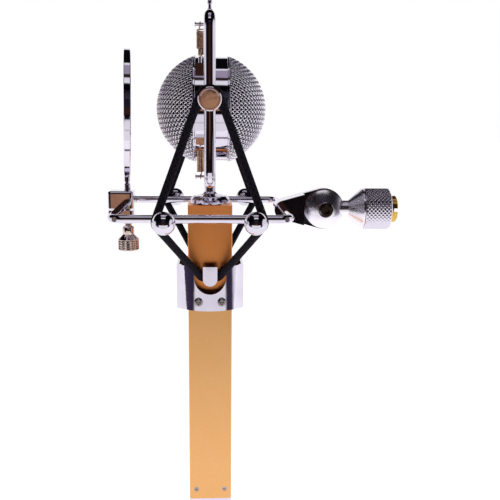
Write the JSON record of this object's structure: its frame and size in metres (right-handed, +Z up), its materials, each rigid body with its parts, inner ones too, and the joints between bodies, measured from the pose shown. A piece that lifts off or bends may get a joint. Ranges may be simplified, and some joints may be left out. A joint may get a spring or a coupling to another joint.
{
  "type": "condenser microphone",
  "caption": "Condenser microphone with a square body and ball head on springs inside a square ring, held by elastic loops in a rod frame with pop filter and stand swivel.",
  "frame": {"origin": "centre of the stand thread's mouth", "axes": "+X out of the stand thread, +Z up along the microphone, so the pop filter faces -X"},
  "size_m": [0.1684, 0.1302, 0.2983],
  "materials": {
    "bright_chrome": "polished chrome plate",
    "gold_satin": "satin gold anodised",
    "brass": "turned brass",
    "zinc_steel": "zinc plated",
    "dark_steel": "blackened socket screw",
    "spring_wire": "drawn spring wire",
    "grille_wire": "woven, bright nickel",
    "fine_mesh": "fine blackened mesh",
    "nickel": "nickel plated, knurled",
    "black_elastic": "woven cover over rubber",
    "black_nylon": "moulded",
    "gold_plate": "gold plated",
    "gold_film": "gold sputtered film",
    "board_laminate": "solder mask",
    "transformer_can": "black paint",
    "capacitor_sleeve": "shrink sleeve",
    "lead_sleeve": "fluoropolymer sleeve"
  },
  "bodies": {
    "stand_nut": {"stand_nut": "bright_chrome", "thread_insert": "brass"},
    "swivel_stud": {"swivel_stud": "bright_chrome", "stud_retainer": "zinc_steel"},
    "frame": {"swivel_arm": "bright_chrome", "swivel_bolt": "dark_steel", "swivel_washer": "bright_chrome", "swivel_nut": "bright_chrome", "frame_rod_near": "bright_chrome", "frame_rod_far": "bright_chrome", "cross_bar_front": "bright_chrome", "cross_bar_back": "bright_chrome", "frame_corners": "bright_chrome", "corner_screws": "zinc_steel", "ball_peg_near_front": "bright_chrome", "ball_peg_near_back": "bright_chrome", "ball_peg_far_front": "bright_chrome", "ball_peg_far_back": "bright_chrome"},
    "microphone": {"body_tube": "gold_satin", "end_cap": "bright_chrome", "connector_insulator": "black_nylon", "connector_pins": "gold_plate", "end_screws": "zinc_steel", "circuit_board": "board_laminate", "board_frames": "black_nylon", "output_transformer": "transformer_can", "capacitors": "capacitor_sleeve", "dome_base": "bright_chrome", "head_ring": "bright_chrome", "ring_finial": "bright_chrome", "yoke_pin_near": "bright_chrome", "yoke_pin_far": "bright_chrome", "clamp_collar": "bright_chrome", "collar_spacers": "black_nylon", "collar_screws": "zinc_steel", "elastic_loop_near": "black_elastic", "elastic_loop_far": "black_elastic", "spring_pegs": "bright_chrome", "spring_upper_near": "spring_wire", "spring_upper_far": "spring_wire", "spring_lower_near": "spring_wire", "spring_lower_far": "spring_wire", "capsule_lead": "lead_sleeve"},
    "head": {"head_band": "bright_chrome", "band_rim_front": "bright_chrome", "band_rim_back": "bright_chrome", "grille_front": "grille_wire", "grille_back": "grille_wire", "liner_front": "fine_mesh", "liner_back": "fine_mesh", "capsule_body": "brass", "diaphragms": "gold_film", "capsule_post": "black_nylon", "spring_lugs": "bright_chrome"},
    "pop_clamp": {"pop_clamp_block": "bright_chrome", "pop_clamp_jaw": "bright_chrome"},
    "pop_filter": {"pop_stem": "bright_chrome", "pop_hoop": "bright_chrome", "pop_screens": "grille_wire"},
    "pop_thumbscrew": {"pop_thumbscrew": "nickel"}
  },
  "joints": [
    {"name": "stud_turn", "type": "hinge", "parent": "stand_nut", "child": "swivel_stud", "pos_m": [0, 0, 0], "axis": [1, 0, 0], "continuous": true},
    {"name": "swivel_tilt", "type": "hinge", "parent": "swivel_stud", "child": "frame", "pos_m": [-0.0428, 0, 0], "axis": [0, 1, 0], "range_deg": [-85, 85]},
    {"name": "mic_bounce", "type": "slide", "parent": "frame", "child": "microphone", "axis": [0, 0, 1], "range_m": [-0.004, 0.004], "stiffness_N_per_m": 1500, "springref_m": 0.003, "deforming": ["elastic_loop_near", "elastic_loop_far"]},
    {"name": "head_bounce", "type": "slide", "parent": "microphone", "child": "head", "axis": [0, 0, 1], "range_m": [-0.003, 0.003], "stiffness_N_per_m": 900, "springref_m": 0.001, "deforming": ["spring_upper_near", "spring_upper_far", "spring_lower_near", "spring_lower_far", "capsule_lead"]},
    {"name": "pop_tilt", "type": "hinge", "parent": "frame", "child": "pop_clamp", "pos_m": [-0.1616, 0, 0], "axis": [0, 1, 0], "range_deg": [-90, 4]},
    {"name": "pop_turn", "type": "hinge", "parent": "pop_clamp", "child": "pop_filter", "pos_m": [-0.1576, 0, 0.0105], "axis": [0, 0, 1], "range_deg": [-35, 28]},
    {"name": "thumbscrew_turn", "type": "hinge", "parent": "pop_clamp", "child": "pop_thumbscrew", "pos_m": [-0.1576, 0, -0.0246], "axis": [0, 0, 1], "continuous": true}
  ]
}
